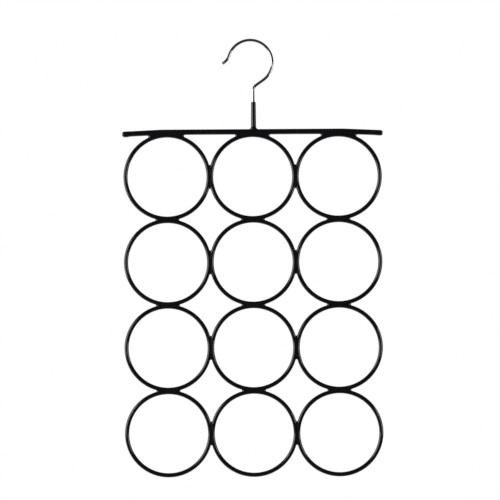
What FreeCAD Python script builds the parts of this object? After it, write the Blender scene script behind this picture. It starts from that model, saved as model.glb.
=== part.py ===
import FreeCAD, Part
import math
import os

# Scarf hanger. A chrome wire hook turns in a short neck on a straight bar. Twelve wire rings are welded to
# the bar and to each other, three across and four down. A soft black coat covers the welded frame and closes
# into a small web at every joint. The coat is divided at the middle plane of each joint.
# Lengths are in millimetres and angles in degrees. The origin is the point inside the hook's loop that rests
# on a rail, +Z is up, the rings lie in the XZ plane and the hook opens towards -X.
# The welded frame is drawn about the foot of its neck, and moved to its place under the hook at the end.

Vector = FreeCAD.Vector

# Hook
hook_wire_d = 3.0
loop_r = 22.1              # to the middle of the wire
shank_offset = 3.1         # from the loop's centre to the shank's axis
throat_slope = 35.0        # below level, where the loop runs down to the shank
knee_r = 7.0               # bend between the shank and the loop
lip_start = 162.5          # round the loop, where the tip starts to turn out
lip_r = 13.0
lip_turn = 39.0
shank_in_sleeve = 22.0
running_gap = 0.05         # between the shank and its sleeve, all round

# Neck sleeve, with a bead rolled into the shank's groove
sleeve_height = 29.65      # top of the sleeve above the bar's axis
sleeve_wall = 0.35
bead_r = 1.5               # roundness of the bead inside the sleeve
bead_depth = 0.3           # how far the bead stands into the bore
bead_rise = 3.0            # middle of the bead above the shank's lower end
neck_weld_leg = 0.8
neck_weld_toe = 0.15
neck_weld_width = 2.0
neck_aside = 1.2           # how far the neck stands to the right of the bar's middle

# Cross bar
bar_wire_d = 4.0
bar_length = 259.0
bar_drop = 90.05           # axis of the bar below the rail
tail_from = 4.0            # past the middle of an outer ring, where the bar's end bends down
tail_slope = 2.6
tail_bend_r = 60.0
bar_end_round = 1.15       # rounded edge of the steel's ends
bar_weld_set = 0.2         # how far a ring is pressed into the bar

# Rings
columns = ("left", "middle", "right")
rows = 4
ring_opening_d = 78.8      # clear opening inside the coat
ring_wire_d = 2.8
ring_weld_set = 0.4        # how far two rings are pressed into each other
nugget_r = 1.0             # weld nugget at each joint
nugget_depth = 0.5         # its depth in each of the two wires

# Soft coat
coat_t = 0.75
coat_split_drop = 0.25     # from the lower edge of the bar's coat down to where it is divided from the rings'
web_r = 2.2                # hollow round end of each web
web_t = 2.5
neck_top_t = 0.5
neck_base_t = 0.75
neck_flare_r = 3.5
neck_flare_t = 2.4

overrun = 5.0              # how far cutting blocks reach past what they cut

# Sizes that follow from these
hook_r = hook_wire_d / 2
sleeve_bore_r = hook_r + running_gap
sleeve_r = sleeve_bore_r + sleeve_wall
bead_centre_r = sleeve_bore_r - bead_depth + bead_r
shank_end = sleeve_height - shank_in_sleeve
bead_z = shank_end + bead_rise
bar_r = bar_wire_d / 2
bar_coat_r = bar_r + coat_t
ring_wire_r = ring_wire_d / 2
ring_coat_r = ring_wire_r + coat_t
ring_r = ring_opening_d / 2 + ring_coat_r
ring_out = ring_r + ring_wire_r
half_pitch = ring_out - ring_weld_set / 2
pitch = 2 * half_pitch
bar_above_ring = ring_out + bar_r - bar_weld_set
bar_seat = ring_out - bar_weld_set / 2
coat_split = bar_above_ring - bar_coat_r - coat_split_drop
web_reach = ring_out + web_r
bar_web_level = bar_above_ring - bar_r - web_r
bar_web_x = math.sqrt(web_reach ** 2 - bar_web_level ** 2)
straight_half = (len(columns) - 1) / 2 * pitch + tail_from
tail_angle = math.radians(tail_slope)
tail_start = straight_half + tail_bend_r * math.sin(tail_angle)
tail_start_z = -tail_bend_r * (1 - math.cos(tail_angle))
tail_length = (bar_length / 2 - tail_start) / math.cos(tail_angle)
neck_top_r = sleeve_r + neck_top_t
neck_base_r = sleeve_r + neck_base_t

across = Vector(0, 1, 0)
up = Vector(0, 0, 1)
along = Vector(1, 0, 0)
frame_place = Vector(shank_offset, 0, -bar_drop)


def at(x, z):
    """A point in the plane of the rings."""
    return Vector(x, 0, z)


def around(centre, radius, degrees):
    """A point on a circle in the plane of the rings."""
    angle = math.radians(degrees)
    return centre + at(radius * math.cos(angle), radius * math.sin(angle))


def line(start, end):
    return Part.LineSegment(start, end).toShape()


def arc(start, middle, end):
    return Part.Arc(start, middle, end).toShape()


def plate(edges, thickness):
    """A flat plate on a closed outline in the plane of the rings, half to the front and half to the back."""
    face = Part.Face(Part.Wire(edges))
    face.translate(across * (-thickness / 2))
    return face.extrude(across * thickness)


def block(low, high):
    """A box between two corners."""
    size = high - low
    return Part.makeBox(size.x, size.y, size.z, low)


def grooved_rod(rod_r, groove_r, groove_z, low, high):
    """A round rod on the neck's axis, with a round groove about the bead's centre line."""
    half_width = math.sqrt(groove_r ** 2 - (bead_centre_r - rod_r) ** 2)
    below = at(rod_r, groove_z - half_width)
    above = at(rod_r, groove_z + half_width)
    floor = at(bead_centre_r - groove_r, groove_z)
    edges = [
        line(at(0, low), at(rod_r, low)),
        line(at(rod_r, low), below),
        arc(below, floor, above),
        line(above, at(rod_r, high)),
        line(at(rod_r, high), at(0, high)),
        line(at(0, high), at(0, low)),
    ]
    return Part.Face(Part.Wire(edges)).revolve(Vector(), up, 360)


def make_hook():
    """The bent wire: a grooved shank, the knee, the open loop and the turned-out tip."""
    loop_centre = at(0, hook_r - loop_r)
    slope = math.radians(throat_slope)
    rising = at(math.cos(slope), math.sin(slope))
    throat = around(loop_centre, loop_r, throat_slope - 90)
    corner = throat - rising * ((throat.x - shank_offset) / math.cos(slope))
    knee_turn = math.pi / 2 - slope
    knee_run = knee_r * math.tan(knee_turn / 2)
    knee_start = corner - up * knee_run
    knee_centre = knee_start + along * knee_r
    knee_end = corner + rising * knee_run
    knee_middle = knee_centre + (corner - knee_centre).normalize() * knee_r
    loop_middle = around(loop_centre, loop_r, (lip_start + throat_slope - 90) / 2)
    loop_end = around(loop_centre, loop_r, lip_start)
    lip_centre = around(loop_centre, loop_r + lip_r, lip_start)
    lip_middle = around(lip_centre, lip_r, lip_start + 180 - lip_turn / 2)
    tip = around(lip_centre, lip_r, lip_start + 180 - lip_turn)
    path = Part.Wire([
        arc(knee_start, knee_middle, knee_end),
        line(knee_end, throat),
        arc(throat, loop_middle, loop_end),
        arc(loop_end, lip_middle, tip),
    ])
    section = Part.Wire(Part.makeCircle(hook_r, knee_start, up))
    bent = path.makePipeShell([section], True, False)
    print("hook wire", round(bent.Volume / (math.pi * hook_r ** 2 * path.Length), 5))
    shank_low = shank_end - bar_drop
    shank = grooved_rod(hook_r, bead_r + running_gap, bead_z - bar_drop, shank_low, knee_start.z)
    shank.translate(along * shank_offset)
    return bent.fuse([shank, Part.makeSphere(hook_r, tip)]).removeSplitter()


def make_sleeve_body():
    """The sleeve's outside as a full rod, rolled in at the bead."""
    return grooved_rod(sleeve_r, bead_r - sleeve_wall, bead_z, 0, sleeve_height)


def make_sleeve(sleeve_body, bar):
    """The tube that carries the shank, cut to sit on the bar."""
    bore = grooved_rod(sleeve_bore_r, bead_r, bead_z, -overrun, sleeve_height + overrun)
    return sleeve_body.cut(bore).cut(bar)


def make_neck_welds(sleeve_body, bar):
    """Two fillets between the sleeve's foot and the top of the bar."""
    toe_x = sleeve_r + neck_weld_leg
    toe_z = bar_r + neck_weld_toe
    top_z = bar_r + neck_weld_leg
    outline = [
        at(-sleeve_r, top_z),
        at(-toe_x, toe_z),
        at(-toe_x, 0),
        at(toe_x, 0),
        at(toe_x, toe_z),
        at(sleeve_r, top_z),
    ]
    edges = [line(start, end) for start, end in zip(outline, outline[1:] + outline[:1])]
    return plate(edges, neck_weld_width).cut(sleeve_body).cut(bar)


def bar_rod(cover):
    """The bar as a round rod under a cover: straight in the middle, with sloping, rounded ends."""
    rod_r = bar_r + cover
    pieces = [Part.makeCylinder(rod_r, 2 * straight_half, at(-straight_half, 0), along)]
    for side in (-1, 1):
        bend_start = at(side * straight_half, 0)
        disc = Part.Face(Part.Wire(Part.makeCircle(rod_r, bend_start, along)))
        pieces.append(disc.revolve(bend_start - up * tail_bend_r, across * side, tail_slope))
        bend_end = at(side * tail_start, tail_start_z)
        outward = at(side * math.cos(tail_angle), -math.sin(tail_angle))
        pieces.append(Part.makeCylinder(rod_r, tail_length + cover, bend_end, outward))
    rod = pieces[0].fuse(pieces[1:]).removeSplitter()
    reach = rod.BoundBox.XMax - rod_r
    ends = [edge for edge in rod.Edges if edge.BoundBox.XMin > reach or edge.BoundBox.XMax < -reach]
    rod = rod.makeFillet(bar_end_round + cover, ends)
    rod.translate(along * -neck_aside)
    return rod


def make_bar():
    """The steel bar, with a small flat under it where each top ring is pressed in."""
    bar = bar_rod(0)
    flat_half = math.sqrt(ring_out ** 2 - bar_seat ** 2)
    flat_z = bar_seat - bar_above_ring
    for column in range(len(columns)):
        x = column_x(column)
        low = Vector(x - flat_half, -bar_wire_d, flat_z - overrun)
        bar = bar.cut(block(low, Vector(x + flat_half, bar_wire_d, flat_z)))
    return bar


def column_x(column):
    return (column - (len(columns) - 1) / 2) * pitch - neck_aside


def row_z(row):
    return -bar_above_ring - row * pitch


def ring_centre(column, row):
    return at(column_x(column), row_z(row))


def ring_torus(tube_r):
    return Part.makeTorus(ring_r, tube_r, Vector(), across)


def web_root(arc_centre):
    """Where the web's hollow end meets the ring: on the wire's outside, and inwards at its middle."""
    outward = Vector(arc_centre).normalize()
    return outward * ring_out, outward * ring_r


def ring_web():
    """The web towards the next ring, to the right of a ring about the origin."""
    rise = math.sqrt(web_reach ** 2 - half_pitch ** 2)
    edge = rise - web_r
    far = half_pitch + overrun
    top_centre = at(half_pitch, rise)
    top_meet, top_root = web_root(top_centre)
    low_meet, low_root = web_root(at(half_pitch, -rise))
    side_way = (top_meet - top_centre).normalize() - up
    top_side = top_centre + side_way.normalize() * web_r
    low_side = at(top_side.x, -top_side.z)
    edges = [
        arc(low_root, at(ring_r, 0), top_root),
        line(top_root, top_meet),
        arc(top_meet, top_side, at(half_pitch, edge)),
        line(at(half_pitch, edge), at(far, edge)),
        line(at(far, edge), at(far, -edge)),
        line(at(far, -edge), at(half_pitch, -edge)),
        arc(at(half_pitch, -edge), low_side, low_meet),
        line(low_meet, low_root),
    ]
    return plate(edges, web_t)


def bar_web():
    """The web between a top ring about the origin and the bar above it."""
    right_centre = at(bar_web_x, bar_web_level)
    right_meet, right_root = web_root(right_centre)
    left_meet, left_root = web_root(at(-bar_web_x, bar_web_level))
    right_bar = right_centre + up * web_r
    left_bar = at(-right_bar.x, right_bar.z)
    side_way = (right_meet - right_centre).normalize() + up
    right_side = right_centre + side_way.normalize() * web_r
    left_side = at(-right_side.x, right_side.z)
    right_top = at(bar_web_x, bar_above_ring)
    left_top = at(-bar_web_x, bar_above_ring)
    edges = [
        arc(left_root, at(0, ring_r), right_root),
        line(right_root, right_meet),
        arc(right_meet, right_side, right_bar),
        line(right_bar, right_top),
        line(right_top, left_top),
        line(left_top, left_bar),
        arc(left_bar, left_side, left_meet),
        line(left_meet, left_root),
    ]
    return plate(edges, web_t)


def turned(shape, degrees):
    """A copy, turned about the ring's axis."""
    copy = shape.copy()
    copy.rotate(Vector(), across, degrees)
    return copy


def ring_cell(column, row, top):
    """The block of space that belongs to one ring, ending at the middle plane of each of its joints."""
    free = ring_r + ring_coat_r + overrun
    depth = ring_coat_r + overrun
    left = half_pitch if column > 0 else free
    right = half_pitch if column < len(columns) - 1 else free
    bottom = half_pitch if row < rows - 1 else free
    low = Vector(-left, -depth, -bottom)
    return block(low, Vector(right, depth, top if row == 0 else half_pitch))


def nugget(centre, axis):
    """One weld nugget, half in each of the two wires that it joins."""
    return Part.makeCylinder(nugget_r, 2 * nugget_depth, centre - axis * nugget_depth, axis)


def make_ring_welds():
    """The nuggets between rings: side by side in each row, then between rows."""
    welds = []
    for row in range(rows):
        for column in range(len(columns)):
            centre = ring_centre(column, row)
            if column < len(columns) - 1:
                welds.append(nugget(centre + along * half_pitch, along))
            if row < rows - 1:
                welds.append(nugget(centre - up * half_pitch, up))
    return Part.makeCompound(welds)


def make_bar_welds():
    """The nuggets between the bar and the top rings."""
    welds = [nugget(ring_centre(column, 0) + up * bar_seat, up) for column in range(len(columns))]
    return Part.makeCompound(welds)


def make_ring(column, row, welds):
    """One wire ring, pressed flat at its joints and pocketed for its weld nuggets."""
    wire = ring_torus(ring_wire_r).common(ring_cell(column, row, bar_seat))
    wire.translate(ring_centre(column, row))
    return wire.cut(welds)


def full_ring_coat(column, row):
    """The coat round one ring with all its webs, still solid and not yet divided from its neighbours."""
    webs = []
    if column > 0:
        webs.append(turned(ring_web(), 180))
    if column < len(columns) - 1:
        webs.append(ring_web())
    if row < rows - 1:
        webs.append(turned(ring_web(), 90))
    webs.append(turned(ring_web(), -90) if row > 0 else bar_web())
    return ring_torus(ring_coat_r).fuse(webs)


def make_ring_coat(column, row, welds, bar_cover):
    """The coat of one ring, hollow for the wire, ending half way through each joint or at the bar's coat."""
    coat = full_ring_coat(column, row).cut(ring_torus(ring_wire_r)).common(ring_cell(column, row, coat_split))
    coat.translate(ring_centre(column, row))
    if row == 0:
        coat = coat.cut(bar_cover)
    return coat.cut(welds)


def top_of_ring_coat(column):
    """What the coat of a top ring leaves above the dividing plane, which belongs to the bar's coat."""
    depth = ring_coat_r + overrun
    low = Vector(-half_pitch, -depth, coat_split)
    top = full_ring_coat(column, 0).common(block(low, Vector(half_pitch, depth, bar_above_ring)))
    top.translate(ring_centre(column, 0))
    return top


def neck_flare():
    """The hollow flare at the foot of the neck, along the bar."""
    foot_x = sleeve_r + neck_flare_r
    top_z = bar_r + neck_flare_r
    bend = math.sin(math.radians(45)) * neck_flare_r
    right_bend = at(foot_x - bend, top_z - bend)
    left_bend = at(-right_bend.x, right_bend.z)
    edges = [
        line(at(-foot_x, 0), at(foot_x, 0)),
        line(at(foot_x, 0), at(foot_x, bar_r)),
        arc(at(foot_x, bar_r), right_bend, at(sleeve_r, top_z)),
        line(at(sleeve_r, top_z), at(-sleeve_r, top_z)),
        arc(at(-sleeve_r, top_z), left_bend, at(-foot_x, bar_r)),
        line(at(-foot_x, bar_r), at(-foot_x, 0)),
    ]
    return plate(edges, neck_flare_t)


def neck_half(low, high):
    """The part of the foot's flare between two levels."""
    reach = sleeve_r + neck_flare_r + overrun
    return neck_flare().common(block(Vector(-reach, -neck_flare_t, low), Vector(reach, neck_flare_t, high)))


def make_neck_coat(sleeve_body, neck_welds):
    """The coat round the sleeve, thin at the top and thicker towards its foot."""
    height = sleeve_height - bar_coat_r
    coat = Part.makeCone(neck_base_r, neck_top_r, height, at(0, bar_coat_r), up)
    coat = coat.fuse(neck_half(bar_coat_r, sleeve_height))
    return coat.cut(sleeve_body).cut(neck_welds)


def make_bar_coat(bar_cover, bar, top_rings, bar_welds, sleeve_body, neck_welds):
    """The coat round the bar, with its round ends, the lands over the top rings and the neck's foot."""
    foot = Part.makeCone(bar_r, neck_base_r, bar_coat_r, Vector(), up)
    tops = [top_of_ring_coat(column) for column in range(len(columns))]
    coat = bar_cover.fuse(tops + [foot, neck_half(0, bar_coat_r)])
    for inner in [bar, *top_rings, bar_welds, sleeve_body, neck_welds]:
        coat = coat.cut(inner)
    return coat


def export(name, shape):
    """Write one piece to its own file and say what it is made of."""
    shape.exportStep(os.path.join("parts", name + ".step"))
    print(name, len(shape.Solids), round(shape.Volume, 2), shape.isValid())


def export_frame(name, shape):
    """Move a piece of the welded frame to its place under the hook, then write it."""
    placed = shape.copy()
    placed.translate(frame_place)
    export(name, placed)


def main():
    os.makedirs("parts", exist_ok=True)
    export("hook", make_hook())
    ring_welds = make_ring_welds()
    bar_welds = make_bar_welds()
    all_welds = Part.makeCompound([ring_welds, bar_welds])
    bar = make_bar()
    bar_cover = bar_rod(coat_t)
    sleeve_body = make_sleeve_body()
    neck_welds = make_neck_welds(sleeve_body, bar)
    export_frame("neck_sleeve", make_sleeve(sleeve_body, bar))
    export_frame("neck_welds", neck_welds)
    export_frame("neck_coat", make_neck_coat(sleeve_body, neck_welds))
    export_frame("ring_welds", ring_welds)
    export_frame("bar_welds", bar_welds)
    top_rings = []
    for row in range(rows):
        for column, side in enumerate(columns):
            ring = make_ring(column, row, all_welds)
            export_frame(f"ring_row{row + 1}_{side}", ring)
            export_frame(f"coat_row{row + 1}_{side}", make_ring_coat(column, row, all_welds, bar_cover))
            if row == 0:
                top_rings.append(ring)
    export_frame("bar_coat", make_bar_coat(bar_cover, bar, top_rings, bar_welds, sleeve_body, neck_welds))
    export_frame("cross_bar", bar.cut(bar_welds))


main()
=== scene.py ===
# %% [markdown]
# # A scarf hanger, dressed
#
# The hanger is a chrome wire hook over a straight bar, with twelve wire rings welded below it. The welded
# frame was dipped in soft black plastic, which closed into a small web wherever two wires meet.
# The pieces already exist as solids at their real size. This lesson loads them as a fixed frame and gives
# each one the surface and the finish that the real one has.

import bmesh
import bpy
import numpy as np
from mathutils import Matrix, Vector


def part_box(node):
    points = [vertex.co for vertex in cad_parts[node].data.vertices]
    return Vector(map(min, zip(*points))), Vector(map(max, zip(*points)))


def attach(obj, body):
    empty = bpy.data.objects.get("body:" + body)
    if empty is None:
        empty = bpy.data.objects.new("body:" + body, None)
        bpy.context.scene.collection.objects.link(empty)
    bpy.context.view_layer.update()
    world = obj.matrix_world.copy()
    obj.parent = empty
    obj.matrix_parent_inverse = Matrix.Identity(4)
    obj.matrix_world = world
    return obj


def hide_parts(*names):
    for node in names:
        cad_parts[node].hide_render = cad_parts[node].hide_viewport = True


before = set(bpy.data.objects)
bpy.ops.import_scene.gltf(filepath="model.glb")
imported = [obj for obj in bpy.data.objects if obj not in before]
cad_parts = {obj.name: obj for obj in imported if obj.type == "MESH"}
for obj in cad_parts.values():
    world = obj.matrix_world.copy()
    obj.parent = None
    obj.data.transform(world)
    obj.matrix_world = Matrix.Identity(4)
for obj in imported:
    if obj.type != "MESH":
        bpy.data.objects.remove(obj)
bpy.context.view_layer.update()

# %% [markdown]
# ## Sizes
#
# Every size that the frame already holds is read from it, so that nothing is fitted by eye. All sums below
# are in millimetres, and a piece is scaled to metres only when its mesh is made.

# %% Read the sizes of the frame
mm = 0.001


def corners(node):
    """Lowest and highest corner of a node, in millimetres."""
    return np.array(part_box(node)) / mm


cell_low, cell_high = corners("coat_row2_middle")
wire_low, wire_high = corners("ring_row2_middle")
foot_low = corners("coat_row4_middle")[0]
bar_low, bar_high = corners("cross_bar")
skin_low, skin_high = corners("bar_coat")
sleeve_low, sleeve_high = corners("neck_sleeve")
hook_low, hook_high = corners("hook")

ring_rows = 4
pitch = cell_high[0] - cell_low[0]
half_pitch = pitch / 2
frame_x = (cell_high[0] + cell_low[0]) / 2
neck_x = (sleeve_high[0] + sleeve_low[0]) / 2
neck_aside = neck_x - frame_x
top_row_z = (cell_high[2] + cell_low[2]) / 2 + pitch
coat_r = (cell_high[1] - cell_low[1]) / 2
coat_t = coat_r - (wire_high[1] - wire_low[1]) / 2
ring_edge = top_row_z - (ring_rows - 1) * pitch - foot_low[2]
ring_r = ring_edge - coat_r
steel_bar_r = (bar_high[1] - bar_low[1]) / 2
bar_r = steel_bar_r + coat_t
bar_z = bar_high[2] - steel_bar_r
bar_above_ring = bar_z - top_row_z
print("ring", round(ring_r, 2), "coat", round(coat_r, 2), "pitch", round(pitch, 2), "bar", round(bar_r, 2))

# %% [markdown]
# ## Finishes written as sums
#
# A shader is a graph of nodes, but most of it is plain arithmetic. One small class wraps a socket, so that
# `0.3 + 0.1 * noise` adds the Math nodes by itself. Every other node comes from one method, which takes the
# node's type, its settings and its sockets.

# %% The two classes that build a node tree


class Field:
    """A value that varies over a surface. Arithmetic on it adds Math nodes."""

    def __init__(self, finish, socket):
        self.finish = finish
        self.socket = socket

    def math(self, operation, *values):
        """A Math node on values or links, given in the order of its sockets."""
        return self.finish.node("ShaderNodeMath", {"operation": operation}, enumerate(values))

    def __add__(self, other):
        return self.math("ADD", self, other)

    def __radd__(self, other):
        return self.math("ADD", other, self)

    def __sub__(self, other):
        return self.math("SUBTRACT", self, other)

    def __rsub__(self, other):
        return self.math("SUBTRACT", other, self)

    def __mul__(self, other):
        return self.math("MULTIPLY", self, other)

    def __rmul__(self, other):
        return self.math("MULTIPLY", other, self)


class Finish:
    """A node tree, built from expressions."""

    def __init__(self, tree):
        self.tree = tree
        tree.nodes.clear()

    def node(self, kind, settings=(), sockets=(), out=0):
        """Add a node of a kind, set its settings, then give its sockets values or links. Returns one output."""
        added = self.tree.nodes.new(kind)
        for name, value in dict(settings).items():
            setattr(added, name, value)
        for key, value in dict(sockets).items():
            if isinstance(value, Field):
                self.tree.links.new(value.socket, added.inputs[key])
            else:
                added.inputs[key].default_value = value
        return Field(self, added.outputs[out]) if added.outputs else None

    def place(self):
        """Where a point is on the object, in metres."""
        return self.node("ShaderNodeTexCoord", out="Object")

    def stored(self, name, out="Fac"):
        """A value that the mesh holds at each point."""
        return self.node("ShaderNodeAttribute", {"attribute_name": name}, out=out)

    def noise(self, place, size, detail=2.0):
        """Cloudy noise from 0 to 1, about 0.5, with features of a size in millimetres."""
        sockets = {"Vector": place, "Scale": 1 / (size * mm), "Detail": detail}
        return self.node("ShaderNodeTexNoise", sockets=sockets, out="Fac")

    def step(self, value, low, high):
        """Rises smoothly from 0 to 1 as the value goes from low to high."""
        limits = enumerate([value, low, high, 0.0, 1.0])
        return self.node("ShaderNodeMapRange", {"interpolation_type": "SMOOTHSTEP"}, limits)

    def blend(self, share, colour_a, colour_b):
        """From one colour to another."""
        return self.node("ShaderNodeMix", {"data_type": "RGBA"}, {0: share, 6: colour_a, 7: colour_b}, out=2)

    def bump(self, height, depth):
        """A normal that follows small heights, with a depth in millimetres."""
        return self.node("ShaderNodeBump", sockets={"Height": height, "Distance": depth * mm})

    def surface(self, **sockets):
        """Close the tree with one surface shader."""
        shader = self.node("ShaderNodeBsdfPrincipled", sockets=sockets)
        self.node("ShaderNodeOutputMaterial", sockets={"Surface": shader})


def new_finish(name):
    """A new material and the tree that makes its finish."""
    material = bpy.data.materials.new(name)
    material.use_nodes = True
    return material, Finish(material.node_tree)


def grey(value, blue=1.0):
    """A grey as a colour, with its blue part raised or lowered."""
    return value, value, value * blue, 1.0


print("a grey of 0.2 is the colour", grey(0.2))

# %% [markdown]
# ## The soft black coat
#
# The frame was dipped in liquid plastic and baked. Such a coat is nearly black and glossy. Its gloss is patchy
# over a few centimetres, and a faint orange-peel ripple runs over it at a millimetre or so. Where scarves are
# drawn through a ring, its inner side is rubbed to more gloss, and fine dust stays elsewhere.
# The pattern could be painted on, but noise on Object coordinates has no seams where the coats of two rings
# meet, because neighbours share the same space. The specular level is twice the default, so that soft light is
# enough to draw lines on the coat and the chrome beside it doesn't wash out.

# %% Make the soft coat


def soft_coat_finish():
    """Gloss that varies with patches, grain, dust specks and rubbing, over a ripple of small bumps."""
    material, finish = new_finish("soft_black_coat")
    place = finish.place()
    rubbed = finish.stored("rubbed")
    patches = finish.noise(place, size=24.0, detail=3.0)
    ripple = finish.noise(place, size=1.3, detail=1.0)
    grain = finish.noise(place, size=0.16, detail=3.0)
    dust = finish.noise(place, size=0.45, detail=1.0)
    specks = finish.step(dust, low=0.70, high=0.78) * (1 - rubbed)
    patchy = finish.step(patches, low=0.35, high=0.65)
    tone = finish.blend(patchy, grey(0.0075, blue=1.6), grey(0.0105, blue=1.5))
    roughness = 0.13 + 0.08 * (patches - 0.5) + 0.06 * (grain - 0.5) + 0.14 * specks - 0.04 * rubbed
    finish.surface(**{
        "Base Color": finish.blend(0.35 * specks, tone, grey(0.045)),
        "Roughness": roughness,
        "IOR": 1.52,
        "Specular IOR Level": 1.0,
        "Normal": finish.bump(ripple + 0.12 * grain, depth=0.018),
    })
    return material


soft_coat = soft_coat_finish()
print("made", soft_coat.name, "with", len(soft_coat.node_tree.nodes), "nodes")

# %% [markdown]
# ## Chrome
#
# The hook is drawn wire, bent and then plated. Plating is almost a mirror, so what shows is the room: but
# the drawing lines under it run along the wire, a rail has dulled the inside of the loop, and the tip was
# ground to a satin. Its cut end carries painted shade: nearly black and not metal. Each mesh point of the hook
# stores its place along and round the wire, so that the lines can follow the bends.

# %% Make the chrome


def chrome_finish():
    """A near mirror with fine lines along the wire, scuffed under the rail, satin, and painted shade at the
    tip's cut end.
    """
    material, finish = new_finish("bright_chrome")
    along_wire = finish.stored("along_wire", out="Vector")
    rubbed = finish.stored("rubbed")
    ground = finish.stored("ground")
    # painted shade: how far the tip's cut end is coloured nearly black and not metal
    painted_dark_end = finish.stored("painted_dark_end")
    place = finish.place()
    lines = finish.noise(along_wire, size=0.22)
    haze = finish.noise(place, size=6.0)
    scuffs = finish.step(finish.noise(place, size=0.7, detail=4.0), low=0.45, high=0.7) * rubbed
    hazy = finish.step(haze, low=0.3, high=0.7)
    plated = finish.blend(hazy, (0.74, 0.75, 0.78, 1), (0.82, 0.825, 0.84, 1))
    finish.surface(**{
        # the tip's cut end gets painted shade here: a nearly black colour and no metal
        "Base Color": finish.blend(0.88 * painted_dark_end, plated, grey(0.02)),
        "Metallic": (1 - 0.7 * ground) * (1 - painted_dark_end),
        "Roughness": 0.02 + 0.04 * haze + 0.04 * lines + 0.18 * scuffs + 0.45 * ground,
        "Normal": finish.bump(lines + 0.6 * scuffs, depth=0.001),
    })
    return material


chrome = chrome_finish()
print("made", chrome.name, "with", len(chrome.node_tree.nodes), "nodes")

# %% [markdown]
# ## Plain steel
#
# The rings, the bar, the sleeve and their welds are bare steel under the coat. They never show from outside,
# but the hanger comes apart on a bench, so they get the dull grey of drawn wire. The welds are browner, from
# the heat. These pieces keep the meshes of the frame, and only their material slots are filled.

# %% Make the steel and give it to the inner pieces


def steel_finish(name, clean, stained):
    """Bare metal between a clean and a stained colour, rougher where it is stained, with a fine grain."""
    material, finish = new_finish(name)
    place = finish.place()
    stains = finish.noise(place, size=9.0, detail=4.0)
    grain = finish.noise(place, size=0.3, detail=3.0)
    finish.surface(**{
        "Base Color": finish.blend(finish.step(stains, low=0.35, high=0.7), clean, stained),
        "Metallic": 1.0,
        "Roughness": 0.28 + 0.22 * stains + 0.12 * grain,
        "Normal": finish.bump(grain, depth=0.01),
    })
    return material


drawn_steel = steel_finish("drawn_steel", (0.46, 0.455, 0.45, 1), (0.30, 0.28, 0.26, 1))
weld_steel = steel_finish("weld_steel", (0.33, 0.30, 0.28, 1), (0.17, 0.12, 0.10, 1))
dressed = ("coat_", "bar_coat", "neck_coat", "hook")
inner_steel = [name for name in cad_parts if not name.startswith(dressed)]
for name in inner_steel:
    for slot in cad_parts[name].material_slots:
        slot.material = weld_steel if name.endswith("welds") else drawn_steel
print("steel on", len(inner_steel), "inner pieces")

# %% [markdown]
# ## From a grid of points to a piece
#
# Every new piece is a grid: rows follow a path, and each row is a loop round the section. Blender could
# sweep a curve instead, but a grid lets the section change freely, as it has to where the coat forms a web.
# Rows that end in a point, and edges where front and back meet, are merged afterwards, which closes the mesh.

# %% Turn a grid into a mesh piece
merge_distance = 0.0002
sharp_angle = np.radians(50)


def grid_faces(rows, columns, ring_shaped):
    """The four corners of each face of a grid. Columns wrap round, and so do rows if the piece is a ring."""
    row = np.arange(rows if ring_shaped else rows - 1)[:, None] * columns
    next_row = (row + columns) % (rows * columns)
    column = np.arange(columns)[None, :]
    next_column = (column + 1) % columns
    faces = [row + column, row + next_column, next_row + next_column, next_row + column]
    return np.stack(faces, axis=-1).reshape(-1, 4)


def close_mesh(mesh):
    """Merge the points that coincide, turn all faces outwards, and count the edges that are still open."""
    work = bmesh.new()
    work.from_mesh(mesh)
    bmesh.ops.remove_doubles(work, verts=work.verts, dist=merge_distance * mm)
    bmesh.ops.recalc_face_normals(work, faces=work.faces)
    still_open = sum(not edge.is_manifold for edge in work.edges)
    work.to_mesh(mesh)
    work.free()
    return still_open


def make_piece(node, points, stored, ring_shaped, body, material):
    """A piece that stands for a node: a grid of points in millimetres, with values stored at each point."""
    rows, columns = points.shape[:2]
    mesh = bpy.data.meshes.new(node + "_skin")
    mesh.from_pydata((points.reshape(-1, 3) * mm).tolist(), [], grid_faces(rows, columns, ring_shaped).tolist())
    for name, values in stored.items():
        flat = np.ascontiguousarray(values, np.float32).reshape(rows * columns, -1)
        kind, field = ("FLOAT", "value") if flat.shape[1] == 1 else ("FLOAT_VECTOR", "vector")
        mesh.attributes.new(name, kind, "POINT").data.foreach_set(field, flat.ravel())
    still_open = close_mesh(mesh)
    mesh.shade_smooth()
    mesh.set_sharp_from_angle(angle=sharp_angle)
    mesh.materials.append(material)
    piece = bpy.data.objects.new(node + "_skin", mesh)
    bpy.context.scene.collection.objects.link(piece)
    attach(piece, body)
    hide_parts(node)
    print(piece.name, len(mesh.polygons), "faces,", still_open, "open edges")


def coat_piece(node, points, rubbed, ring_shaped=True):
    """A piece of the soft coat, which rides on the frame and stores how much each point is rubbed."""
    make_piece(node, points, {"rubbed": rubbed}, ring_shaped, "frame", soft_coat)


print("a closed ring of 3 rows and 4 columns has", len(grid_faces(3, 4, True)), "faces")

# %% [markdown]
# ## How the wet coat gathers
#
# A dipped coat is round over a wire. Between two wires that touch, surface tension draws it into a film that
# is thick at the joint, thins outwards and ends in a hollow arc. Modelling that with bevels would need a clean
# crossing of many solids. Here each wire and the film give a half thickness in front of the middle plane, and
# the three are flowed together by a power sum, which is a smooth form of taking the largest.

# %% Round, eased and flowed thickness
flow_power = 8


def half_chord(radius, offset):
    """Half thickness of a round at an offset from its middle: root of radius squared less offset squared."""
    return np.sqrt(np.maximum(radius ** 2 - offset ** 2, 0))


def rounded(t):
    """Rises from 0 to 1 as a quarter circle: steep at first, level at the end."""
    return np.sqrt(1 - (1 - np.clip(t, 0, 1)) ** 2)


def eased(t):
    """Rises from 0 to 1 and is level at both ends: three t squared less two t cubed."""
    t = np.clip(t, 0, 1)
    return t * t * (3 - 2 * t)


def flowed(*layers):
    """The power sum of several layers: the root of the sum of their powers."""
    return sum(layer ** flow_power for layer in layers) ** (1 / flow_power)


print("two equal layers flow to", round(flowed(1.0, 1.0), 3), "of one")

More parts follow.
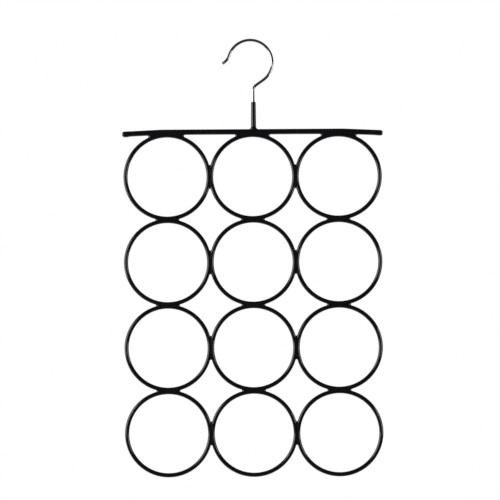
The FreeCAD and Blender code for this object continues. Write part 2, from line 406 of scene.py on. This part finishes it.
# %% The coat over a joint
film_t = 1.75        # half thickness of the film
film_run = 2.8       # how far in from its hollow end the film gains that
crest_share = 0.6    # share of a wire's radius over which the film fades out towards its crest
settle_steps = 12    # how often a sum that depends on its own result is repeated
web_steps = 22
arc_steps = 12
free_steps = 15


class Joint:
    """A side of a ring where its coat webs over to a neighbour.

    Places are given as lateral, along the joint, and level, out from the ring's centre to the neighbour.
    Half way is the level at which the two coats are divided. Beyond is how far a place is from the middle
    of the neighbour's wire. The web ends in a hollow arc that touches both wires.
    """

    def __init__(self, hollow_lateral, hollow_level, hollow_r, half_way, beyond, neighbour_r):
        self.hollow = hollow_lateral, hollow_level, hollow_r
        self.half_way = half_way
        self.beyond = beyond
        self.neighbour_r = neighbour_r
        self.touch = np.arctan2(hollow_lateral, hollow_level)
        lean = 0.0
        for _ in range(settle_steps):
            lean = np.arcsin((half_way(hollow_lateral - hollow_r * np.cos(lean)) - hollow_level) / hollow_r)
        arc = np.linspace(-lean, np.pi / 2 - self.touch, arc_steps)
        arc_lateral = hollow_lateral - hollow_r * np.cos(arc)
        self.arc_directions = np.arctan2(arc_lateral, hollow_level - hollow_r * np.sin(arc))
        self.tip = self.arc_directions[0]
        self.tip_lateral = arc_lateral[0]

    def directions(self):
        """Directions from the middle of the joint to half way to the next side, closest where the web ends."""
        web = self.tip * np.sin(np.linspace(0, np.pi / 2, web_steps))
        free = np.linspace(self.touch, np.pi / 4, free_steps)
        return np.concatenate([web[:-1], self.arc_directions[:-1], free])

    def places(self):
        """Places along the joint, from its middle to where the neighbour leaves the web."""
        web = self.tip_lateral * np.sin(np.linspace(0, np.pi / 2, web_steps))
        return np.concatenate([web, np.linspace(self.tip_lateral, self.hollow[0], arc_steps)])

    def edge(self, direction):
        """How far out the coat reaches: to the dividing line, the hollow arc or the ring's own edge.

        A ray meets the arc where it has come as far as the arc's middle, less the half chord there.
        """
        lateral, level, radius = self.hollow
        divided = self.half_way(0.0) / np.cos(direction)
        for _ in range(settle_steps):
            divided = self.half_way(divided * np.sin(direction)) / np.cos(direction)
        ahead = level * np.cos(direction) + lateral * np.sin(direction)
        aside = lateral * np.cos(direction) - level * np.sin(direction)
        on_arc = ahead - half_chord(radius, aside)
        outside = np.where(direction < self.touch, on_arc, ring_edge)
        return np.where(direction <= self.tip, divided, outside)

    def upper_edge(self, lateral, free_level):
        """The level that the neighbour's coat reaches: the dividing line, the hollow arc or its own edge."""
        hollow_lateral, level, radius = self.hollow
        on_arc = level + half_chord(radius, lateral - hollow_lateral)
        outside = np.where(lateral < hollow_lateral, on_arc, free_level)
        return np.where(lateral <= self.tip_lateral, self.half_way(lateral), outside)

    def thickness(self, lateral, level):
        """Half thickness: this ring, its neighbour and the film, which ends round at the hollow arc."""
        own = np.hypot(lateral, level) - ring_r
        other = self.beyond(lateral, level)
        hollow_lateral, hollow_level, hollow_r = self.hollow
        depth = np.hypot(lateral - hollow_lateral, level - hollow_level) - hollow_r
        between = np.arctan2(lateral, level) < self.touch
        off_crests = eased(own / (crest_share * coat_r)) * eased(other / (crest_share * self.neighbour_r))
        film = film_t * rounded(depth / film_run) * off_crests * between
        return flowed(half_chord(coat_r, own), half_chord(self.neighbour_r, other), film)


# %% Describe the joint between two rings
ring_hollow_r = 0.95
ring_joint = Joint(
    half_chord(ring_edge + ring_hollow_r, half_pitch), half_pitch, ring_hollow_r,
    lambda lateral: half_pitch + 0 * lateral,
    lambda lateral, level: np.hypot(lateral, pitch - level) - ring_r,
    coat_r,
)
print("webs between rings are", round(2 * ring_joint.tip_lateral, 2), "mm long")

# %% [markdown]
# ## Under the bar
#
# The bar is straight over the rings and bends down a little past the middle of each outer one, so its outer
# joints are tighter than the others. A place that is as far from a round ring as from a straight bar lies on a
# parabola, which divides the two coats. Where the bar sags, half of the sag is taken off.

# %% Describe the joints between the bar and a ring
bar_hollow_r = 1.1
tail_from = 4.0                  # past the middle of an outer ring, where the bar starts to bend
tail_slope = np.radians(2.6)
tail_bend_r = 60.0
under_bar = bar_above_ring - bar_r
bend_start = pitch + tail_from
bend_run = tail_bend_r * np.sin(tail_slope)


def sag(x):
    """How far the bar hangs down at a place along it: nothing, then an arc, then a straight slope."""
    run = np.maximum(np.abs(x) - bend_start, 0)
    bend = np.minimum(run, bend_run)
    return tail_bend_r - half_chord(tail_bend_r, bend) + (run - bend) * np.tan(tail_slope)


def joint_under_bar(column_x):
    """A joint whose lateral places run outwards along the bar from a ring's middle.

    The middle of its hollow arc is one arc radius below the bar's coat and one outside the ring's.
    """
    lateral = 0.0
    for _ in range(settle_steps):
        level = under_bar - sag(column_x + lateral) - bar_hollow_r
        lateral = half_chord(ring_edge + bar_hollow_r, level)
    total = ring_edge + under_bar
    return Joint(
        lateral, level, bar_hollow_r,
        lambda place: (total ** 2 - place ** 2) / (2 * total) - sag(column_x + place) / 2,
        lambda place, height: bar_above_ring - sag(column_x + place) - height,
        bar_r,
    )


bar_joint = joint_under_bar(0.0)
end_joint = joint_under_bar(pitch)
print("webs under the bar reach", round(bar_joint.tip_lateral, 2), "and", round(end_joint.tip_lateral, 2), "mm")

# %% [markdown]
# ## Twelve ring coats
#
# Going once round a ring, the section is a circle except at the joints, where its outer half is drawn out to
# the dividing plane. So the first parameter is the direction from the ring's centre, and the second runs round
# the section: out over the front, back over the rear, and round the inside.

# %% The coat of one ring
free_directions = np.linspace(0, np.pi / 4, 46)
crest_to_edge = np.cos(np.linspace(np.pi / 2, 0, 15))
inner_turn = np.linspace(0, np.pi, 19)[1:-1]
rub_level = 0.3                  # how rubbed a ring is inside at its sides, before easing
rub_drop = 1.1                   # how much more so at its foot, where a scarf hangs


def eighth_of_ring(joint):
    """From the middle of a joint half way to the next: direction, offset from the wire's middle, depth.

    The offset goes from the crest to the edge as a cosine. The depth is the half chord there, or the joint's.
    """
    direction = free_directions if joint is None else joint.directions()
    edge = np.full_like(direction, ring_edge) if joint is None else joint.edge(direction)
    offset = (edge - ring_r)[:, None] * crest_to_edge
    if joint is None:
        return direction, offset, half_chord(coat_r, offset)
    lateral = (ring_r + offset) * np.sin(direction)[:, None]
    level = (ring_r + offset) * np.cos(direction)[:, None]
    return direction, offset, joint.thickness(lateral, level)


def quarter_of_ring(quarter, before, after):
    """The outer side about one joint, which may differ before and after its middle."""
    turn, offset, depth = (part[::-1] for part in eighth_of_ring(before))
    next_turn, next_offset, next_depth = (part[1:-1] for part in eighth_of_ring(after))
    turn = np.concatenate([-turn, next_turn]) + quarter * np.pi / 2
    return turn, np.concatenate([offset, next_offset]), np.concatenate([depth, next_depth])


def ring_coat(joints):
    """The coat of one ring about its centre, and how much each point is rubbed by scarves.

    Across and up, a point is the ring's radius plus its offset, times the cosine and the sine of its direction.
    """
    quarters = [quarter_of_ring(quarter, *pair) for quarter, pair in enumerate(joints)]
    turn, offset, depth = (np.concatenate(parts) for parts in zip(*quarters))
    inside = np.broadcast_to(-coat_r * np.sin(inner_turn), (len(turn), len(inner_turn)))
    inside_depth = np.broadcast_to(coat_r * np.cos(inner_turn), inside.shape)
    offset = np.concatenate([offset, offset[:, ::-1], inside], axis=1)
    depth = np.concatenate([-depth, depth[:, ::-1], inside_depth], axis=1)
    cosine = np.cos(turn)[:, None]
    sine = np.sin(turn)[:, None]
    points = np.stack([(ring_r + offset) * cosine, depth, (ring_r + offset) * sine], axis=-1)
    rubbed = eased(-offset / coat_r) * eased(rub_level - rub_drop * sine)
    return points, rubbed


print("a free ring's coat has", ring_coat([(None, None)] * 4)[0].shape[0], "sections")

# %% Make the ring coats
ring_columns = ("left", "middle", "right")
bare = (None, None)
webbed = (ring_joint, ring_joint)
under_the_bar = [(bar_joint, end_joint), (bar_joint, bar_joint), (end_joint, bar_joint)]
for row in range(ring_rows):
    for column, side in enumerate(ring_columns):
        right = webbed if column < len(ring_columns) - 1 else bare
        above = webbed if row > 0 else under_the_bar[column]
        left = webbed if column > 0 else bare
        below = webbed if row < ring_rows - 1 else bare
        skin, rubbed = ring_coat([right, above, left, below])
        centre = np.array([frame_x + (column - 1) * pitch, 0, top_row_z - row * pitch])
        coat_piece(f"coat_row{row + 1}_{side}", skin + centre, rubbed)

# %% [markdown]
# ## The bar's coat
#
# The bar is a round rod whose ends droop a little past the outer rings. Its coat has three lands below, where
# it flows into the top rings, and one above, at the foot of the neck. At the ends the wet coat ran together
# and dried as a small drip. The first parameter is the place along the bar. The second goes up the front and
# down the back, from the lower edge to the upper one.

# %% The foot of the neck, which the bar and the neck share
neck_low, neck_high = corners("neck_coat")
neck_foot_r = (neck_high[1] - neck_low[1]) / 2
foot_hollow_r = 2.2
foot_widening = 1.2
foot_reach = neck_foot_r + foot_hollow_r
foot_zone = 4 * foot_reach       # past this, the bar is plain
search_depth = 3 * bar_r


def joined(own, other, hollow_r):
    """Distance to two surfaces joined by a hollow arc: to the nearer one, or to the arc where both are near."""
    to_arc = np.hypot(np.maximum(hollow_r - own, 0), np.maximum(hollow_r - other, 0))
    return np.maximum(hollow_r, np.minimum(own, other)) - to_arc


def foot_depth(x, height, neck_r):
    """Half thickness where the neck stands on the bar, found by halving the space in front of the middle plane.

    The hollow widens towards the front, where the two rounds run into each other. What it adds is held back
    as it nears the bar's own front: the room left there, times one less the exponential of what it fills.
    """
    near = np.zeros(np.broadcast(x, height).shape)
    far = near + search_depth
    for _ in range(2 * settle_steps):
        depth = (near + far) / 2
        from_neck = np.hypot(x, depth)
        from_bar = np.hypot(height, depth)
        alike = depth ** 2 / (from_neck * from_bar)
        hollow_r = foot_hollow_r * (1 + foot_widening * alike)
        inside = joined(from_neck - neck_r, from_bar - bar_r, hollow_r) < 0
        near = np.where(inside, depth, near)
        far = np.where(inside, far, depth)
    plain = np.maximum(half_chord(neck_r, x), half_chord(bar_r, height))
    room = np.maximum(bar_r - plain, merge_distance)
    return plain + room * (1 - np.exp((plain - near) / room))


print("the foot of the neck reaches", round(foot_reach, 2), "mm along the bar")

# %% Make the bar's coat
crest_to_edge_of_bar = np.cos(np.linspace(np.pi / 2, 0, 14))
end_round = 2.1
drip_at = 4.2
drip_width = 2.6
drips = (0.55, 0.22)             # how far they hang down at the left end and the right one
span_steps = 150
end_steps = 9
foot_steps = 41
near_foot_steps = 61
bar_ends = np.array([skin_low[0], skin_high[0]]) - frame_x


def bar_places():
    """Places along the bar, close together at the webs, at the neck's foot and at the round ends."""
    sides = [(-1, -1, end_joint), (-1, 1, bar_joint), (0, -1, bar_joint)]
    webs = np.concatenate([column * pitch + side * joint.places() for column, side, joint in sides])
    foot = neck_aside + foot_reach * np.sin(np.linspace(-np.pi / 2, np.pi / 2, foot_steps))
    around_foot = neck_aside + foot_reach * np.linspace(-2, 2, near_foot_steps)
    round_end = end_round * (1 - np.cos(np.linspace(0, np.pi / 2, end_steps)))
    ends = np.concatenate([bar_ends[0] + round_end, bar_ends[1] - round_end])
    spans = np.linspace(bar_ends[0] + end_round, bar_ends[1] - end_round, span_steps)
    return np.unique(np.round(np.concatenate([webs, -webs, foot, around_foot, ends, spans]), 5))


def bar_coat():
    """The coat along the bar, about its middle. Heights are measured from its sagging axis.

    They go down to the edge of the rod or web, and up to the edge of the rod. The depth at each is the half
    chord of the rod, or the thickness of the web below it or of the neck's foot above it.
    """
    x = bar_places()[:, None]
    lateral = np.abs(x - pitch * np.array([-1, 0, 1])).min(axis=1, keepdims=True)
    outer = np.abs(x) > pitch
    from_end = np.concatenate([x - bar_ends[0], bar_ends[1] - x], axis=1)
    radius = bar_r - end_round + end_round * rounded(from_end.min(axis=1, keepdims=True) / end_round)
    drip = (drips * np.exp(-((from_end - drip_at) / drip_width) ** 2)).sum(axis=1, keepdims=True)
    axis = bar_above_ring - sag(x)
    edges = [joint.upper_edge(lateral, axis - radius) for joint in (end_joint, bar_joint)]
    down = (axis - np.where(outer, *edges)) * crest_to_edge_of_bar
    up = radius * crest_to_edge_of_bar
    web = np.where(outer, *[joint.thickness(lateral, axis - down) for joint in (end_joint, bar_joint)])
    in_web = lateral < np.where(outer, end_joint.hollow[0], bar_joint.hollow[0])
    low_depth = np.where(in_web, web, half_chord(radius, down))
    from_neck = x - neck_aside
    at_foot = np.abs(from_neck) < foot_zone
    high_depth = np.where(at_foot, foot_depth(from_neck, up, neck_foot_r), half_chord(radius, up))
    height = np.concatenate([-(down * (1 + drip / bar_r))[:, ::-1], up[:, 1:]], axis=1) - sag(x)
    depth = np.concatenate([low_depth[:, ::-1], high_depth[:, 1:]], axis=1)
    across = np.broadcast_to(x, height.shape)
    front = np.stack([across, -depth, height], axis=-1)
    back = np.stack([across, depth, height], axis=-1)[:, ::-1]
    loops = np.concatenate([front, back], axis=1)
    ends = np.broadcast_to(loops.mean(axis=1, keepdims=True), loops.shape)
    return np.concatenate([ends[:1], loops, ends[-1:]])


bar_skin = bar_coat()
bar_place = np.array([frame_x, 0, bar_z])
coat_piece("bar_coat", bar_skin + bar_place, np.zeros(bar_skin.shape[:2]), ring_shaped=False)

# %% [markdown]
# ## The neck's coat
#
# The neck is a short tube that the hook turns in. Its coat tapers upwards, is drawn in round the tube's top,
# and flares into the bar at its foot. It is a closed tube: rows climb the outside, turn in at the top and go
# down inside, where the steel tube hides them.

# %% Make the neck's coat
neck_top = sleeve_high[2] - bar_z
sleeve_r = (sleeve_high[1] - sleeve_low[1]) / 2
tuck = 0.03                      # how far the inside lies in the tube's wall
rim_t = 0.04
neck_top_t = 0.5
neck_inner_r = sleeve_r - tuck
neck_rim_r = sleeve_r + rim_t
neck_top_r = sleeve_r + neck_top_t
shoulder = 1.1
neck_sides = 64
flare_steps = 20
shaft_steps = 12
turn_in_steps = 12


def neck_coat():
    """Sections of the neck, from its foot up the outside and down the inside.

    To the sides, a section reaches the tapering radius plus the foot's hollow, times the cosine of the turn.
    To the front and back it is as deep as the foot is there.
    """
    flare = bar_r + foot_hollow_r * (1 - np.cos(np.linspace(0, np.pi / 2, flare_steps)))
    shaft = np.linspace(flare[-1], neck_top - shoulder, shaft_steps)[1:]
    turn_in = neck_top - shoulder * (1 - np.sin(np.linspace(0, np.pi / 2, turn_in_steps)))[1:]
    height = np.concatenate([flare, shaft, turn_in])
    taper = neck_foot_r + (neck_top_r - neck_foot_r) * (height - bar_r) / (neck_top - bar_r)
    to_top = np.clip((height - neck_top + shoulder) / shoulder, 0, 1)
    radius = neck_rim_r + (taper - neck_rim_r) * np.sqrt(1 - to_top ** 2)
    hollow = foot_hollow_r - half_chord(foot_hollow_r, np.maximum(bar_r + foot_hollow_r - height, 0))
    reach = radius + hollow
    turn = np.linspace(0, 2 * np.pi, neck_sides, endpoint=False)
    x = reach[:, None] * np.cos(turn)
    y = foot_depth(x, height[:, None], radius[:, None]) * np.where(np.sin(turn) < 0, -1, 1)
    outside = np.stack([x, y, np.broadcast_to(height[:, None], x.shape)], axis=-1)
    inner_x = np.broadcast_to(neck_inner_r * np.cos(turn), (2, neck_sides))
    inner_y = np.broadcast_to(neck_inner_r * np.sin(turn), (2, neck_sides))
    inner_z = np.broadcast_to(np.array([[neck_top], [bar_r]]), (2, neck_sides))
    inside = np.stack([inner_x, inner_y, inner_z], axis=-1)
    return np.concatenate([outside, inside])


neck_skin = neck_coat()
neck_place = np.array([neck_x, 0, bar_z])
coat_piece("neck_coat", neck_skin + neck_place, np.zeros(neck_skin.shape[:2]))

# %% [markdown]
# ## The hook
#
# One wire makes the whole hook: a straight shank, a knee, a straight throat, an open loop and a tip that turns
# outwards. A bevelled curve would do, but a path that is walked as runs and turns has exact arcs, and gives
# each point its place along the wire, which the chrome needs for its drawing lines.

# %% Walk along the wire
wire_r = (hook_high[1] - hook_low[1]) / 2
loop_r = hook_high[0] - wire_r
loop_z = hook_high[2] - wire_r - loop_r
throat_slope = np.radians(35)
knee_r = 7.0
lip_start = np.radians(162.5)
lip_r = 13.0
lip_turn = np.radians(39)
knee_turn = np.pi / 2 - throat_slope
loop_turn = lip_start + knee_turn
throat_x = loop_r * np.sin(throat_slope)
corner_z = loop_z - loop_r * np.cos(throat_slope) - (throat_x - neck_x) * np.tan(throat_slope)
knee_run = knee_r * np.tan(knee_turn / 2)
shank_run = corner_z - knee_run - hook_low[2]
throat_run = (throat_x - neck_x) / np.cos(throat_slope) - knee_run
tip_round = 0.5
# how far back from the tip the painted shade on the cut end reaches
painted_dark_end_run = 1.3
ground_run = 3.2

# Each run is a length, a turn to the left and a number of steps.
wire_runs = [
    (shank_run, 0.0, 90),
    (knee_r * knee_turn, -knee_turn, 24),
    (throat_run, 0.0, 12),
    (loop_r * loop_turn, loop_turn, 150),
    (lip_r * lip_turn, -lip_turn, 30),
    (wire_r - tip_round, 0.0, 6),
    (tip_round, 0.0, 10),
]


def walk(runs, start):
    """Points and headings along runs that start upwards. A step is a chord at its mean heading.

    The chord is the step times the sine of half its turn, over half its turn.
    """
    step = np.concatenate([np.full(count, length / count) for length, _, count in runs])
    turn = np.concatenate([np.full(count, angle / count) for _, angle, count in runs])
    heading = np.pi / 2 + np.concatenate([[0], np.cumsum(turn)])
    middle = heading[:-1] + turn / 2
    chord = step * np.sinc(turn / (2 * np.pi))
    moves = np.stack([chord * np.cos(middle), chord * np.sin(middle)], axis=-1)
    points = start + np.concatenate([np.zeros((1, 2)), np.cumsum(moves, axis=0)])
    return points, heading, np.concatenate([[0], np.cumsum(step)])


print("the wire is", round(sum(length for length, _, _ in wire_runs), 1), "mm long")

# %% Make the hook
wire_sides = 48
groove_at = 3.0
groove_depth = 0.3
groove_width = 0.7
shank_chamfer = 0.4
shank_end_share = 0.8            # the chamfered end's radius, as a share of the wire's
rail_spread = 0.45               # how far round the loop from its top the rail rubs
lines_along_share = 0.004        # draws the lines out along the wire


def hook_wire():
    """The wire round its path: a full circle, but for a groove for the sleeve's bead and the two round ends.

    A point is the path's, plus the radius times the cosine of the turn, square to the heading, and times its
    sine towards the back.
    """
    points, heading, along = walk(wire_runs, np.array([neck_x, hook_low[2]]))
    groove = groove_depth * np.exp(-((along - groove_at) / groove_width) ** 2)
    chamfer = shank_end_share + (1 - shank_end_share) * rounded(along / shank_chamfer)
    radius = (wire_r - groove) * rounded((along[-1] - along) / tip_round) * chamfer
    turn = np.linspace(0, 2 * np.pi, wire_sides, endpoint=False)
    outward = radius[:, None] * np.cos(turn)
    y = radius[:, None] * np.sin(turn)
    x = points[:, :1] + outward * np.sin(heading)[:, None]
    z = points[:, 1:] - outward * np.cos(heading)[:, None]
    loops = np.stack([x, y, z], axis=-1)
    foot = np.broadcast_to(loops[:1].mean(axis=1, keepdims=True), loops[:1].shape)
    skin = np.concatenate([foot, loops])
    along = np.concatenate([along[:1], along])[:, None]
    to_tip = along[-1] - along
    heading = np.concatenate([heading[:1], heading])[:, None]
    inner_side = eased(-np.cos(turn))
    at_rail = np.exp(-((heading - np.pi) / rail_spread) ** 2)
    round_wire = np.stack([wire_r * np.cos(turn), wire_r * np.sin(turn)], axis=-1)
    round_wire = np.broadcast_to(round_wire, (len(skin), wire_sides, 2))
    lengthwise = np.broadcast_to((along * lines_along_share)[:, :, None], (len(skin), wire_sides, 1))
    stored = {
        "along_wire": np.concatenate([round_wire, lengthwise], axis=-1) * mm,
        "rubbed": inner_side * at_rail,
        "ground": np.broadcast_to(eased(2 - 2 * to_tip / ground_run), skin.shape[:2]),
        # painted shade: how much each point near the cut end is coloured nearly black
        "painted_dark_end": np.broadcast_to(eased(2 - 2 * to_tip / painted_dark_end_run), skin.shape[:2]),
    }
    return skin, stored


hook_skin, hook_stored = hook_wire()
make_piece("hook", hook_skin, hook_stored, False, "hook", chrome)

# %% [markdown]
# ## Camera
#
# The photograph was taken straight on, from far enough away that the rings look equal. A long lens at the
# matching distance gives that. The hanger hangs a third of a degree off upright in it, so the camera rolls
# by as much.

# %% Place the camera
lens = 120.0
sensor = 36.0
view_width = 499.7
view_x = -1.2
view_z = -208.17
roll = np.radians(0.358)

camera = bpy.data.objects.new("camera", bpy.data.cameras.new("camera"))
camera.data.lens = lens
camera.data.sensor_width = sensor
camera_distance = view_width * lens / sensor
camera.location = (view_x * mm, -camera_distance * mm, view_z * mm)
camera.rotation_euler = (np.pi / 2, roll, 0)
bpy.context.scene.collection.objects.link(camera)
bpy.context.scene.camera = camera
bpy.context.scene.view_settings.view_transform = "Standard"
print("camera at", round(camera_distance), "mm")

# %% [markdown]
# ## Floor
#
# A pale disc lies below the hanger and takes its shadow. Most of it is clear, and its rim fades out, so that it
# stays close to the white around it and no edge shows from any side.

# %% Make the floor
floor_z = -760.0
floor_r = 460.0
fade_from = 200.0
fade_to = 0.95 * floor_r
clear_share = 0.8
floor_steps = 96


def floor_finish():
    """A matt tone mixed with clear: the clear share in the middle, all clear at the rim."""
    material, finish = new_finish("pale_floor")
    place = finish.place()
    from_middle = finish.node("ShaderNodeVectorMath", {"operation": "LENGTH"}, {0: place}, out="Value")
    mottle = finish.noise(place, size=60.0, detail=4.0)
    tone = finish.blend(mottle, grey(0.80), grey(0.84))
    matt = finish.node("ShaderNodeBsdfDiffuse", sockets={"Color": tone})
    clear = finish.node("ShaderNodeBsdfTransparent")
    fade = clear_share + (1 - clear_share) * finish.step(from_middle, fade_from * mm, fade_to * mm)
    mixed = finish.node("ShaderNodeMixShader", sockets={0: fade, 1: matt, 2: clear})
    finish.node("ShaderNodeOutputMaterial", sockets={"Surface": mixed})
    return material


around = np.linspace(0, 2 * np.pi, floor_steps, endpoint=False)
rim = np.stack([floor_r * np.cos(around), floor_r * np.sin(around), np.zeros(floor_steps)], axis=-1)
floor_mesh = bpy.data.meshes.new("floor")
floor_mesh.from_pydata((rim * mm).tolist(), [], [list(range(floor_steps))])
floor_mesh.materials.append(floor_finish())
floor = bpy.data.objects.new("floor", floor_mesh)
floor.location = (0, 0, floor_z * mm)
bpy.context.scene.collection.objects.link(floor)
print("floor", round(foot_low[2] - floor_z), "mm under the hanger")

# %% [markdown]
# ## Light
#
# The room is white behind the hanger and dark in one corner behind the camera, high on the right. The chrome
# shows that as bright flanks and a dark line along the middle, a little to the upper right. Plain white all
# round would wash it out, so the world is white to the camera, and to reflections only away from that corner.
# A broad soft box stands to the left. A narrower one on the right ends just below what the chrome mirrors, so
# it draws a thin line down the coat and leaves the hook alone, which has a strip of its own above it.

# %% Make the world
dark_room = 0.035                # light in the dark corner
dark_aside = np.radians(25)      # how far that corner is to the right of the camera
dark_above = np.radians(20)      # and above it
room_front = 0.06                # cosine of the angle from the point opposite, where more light starts
room_back = 0.95                 # and where it is full


def studio_world():
    """A room whose light grows away from a dark corner behind the camera, and that is white to the camera."""
    world = bpy.data.worlds.new("studio")
    world.use_nodes = True
    finish = Finish(world.node_tree)
    camera_ray = finish.node("ShaderNodeLightPath", out="Is Camera Ray")
    glossy_ray = finish.node("ShaderNodeLightPath", out="Is Glossy Ray")
    transmission_ray = finish.node("ShaderNodeLightPath", out="Is Transmission Ray")
    looking = finish.node("ShaderNodeTexCoord", out="Generated")
    away = np.array([-np.sin(dark_aside), np.cos(dark_aside), -np.tan(dark_above)]) * np.cos(dark_above)
    product = {"operation": "DOT_PRODUCT"}
    from_dark = finish.node("ShaderNodeVectorMath", product, {0: looking, 1: away}, out="Value")
    behind = finish.step(from_dark, room_front, room_back)
    white = camera_ray + transmission_ray + glossy_ray * behind
    strength = white + (1 - white) * (dark_room + (1 - dark_room) * behind)
    light = finish.node("ShaderNodeBackground", sockets={"Color": (1, 1, 1, 1), "Strength": strength})
    finish.node("ShaderNodeOutputWorld", sockets={"Surface": light})
    return world


bpy.context.scene.world = studio_world()
print("made", bpy.context.scene.world.name, "with", len(bpy.context.scene.world.node_tree.nodes), "nodes")

# %% Hang the soft boxes
lamp_distance = 1200.0


def soft_box(name, from_degrees, to_degrees, low, high, level):
    """A lit panel facing the hanger, between two directions from the camera's side, positive to the right.

    Its power is the level times pi times its area, so that a level is as bright on a panel of any size.
    """
    spread = np.radians(to_degrees - from_degrees) / 2
    towards = np.radians(from_degrees + to_degrees) / 2
    lamp = bpy.data.lights.new(name, "AREA")
    lamp.shape = "RECTANGLE"
    lamp.size = 2 * lamp_distance * np.tan(spread) * mm
    lamp.size_y = (high - low) * mm
    lamp.energy = level * np.pi * lamp.size * lamp.size_y
    panel = bpy.data.objects.new(name, lamp)
    place = np.array([np.sin(towards), -np.cos(towards)]) * lamp_distance * mm
    panel.location = (place[0], place[1], (low + high) / 2 * mm)
    panel.rotation_euler = (np.pi / 2, 0, towards)
    bpy.context.scene.collection.objects.link(panel)
    print(name, round(lamp.size, 2), "m wide,", round(lamp.energy, 2), "W")


soft_box("left_box", from_degrees=-84, to_degrees=-39, low=-540.0, high=350.0, level=2.1)
soft_box("right_box", from_degrees=48, to_degrees=72, low=-560.0, high=30.0, level=2.6)
soft_box("hook_strip", from_degrees=70, to_degrees=130, low=52.0, high=150.0, level=1.0)
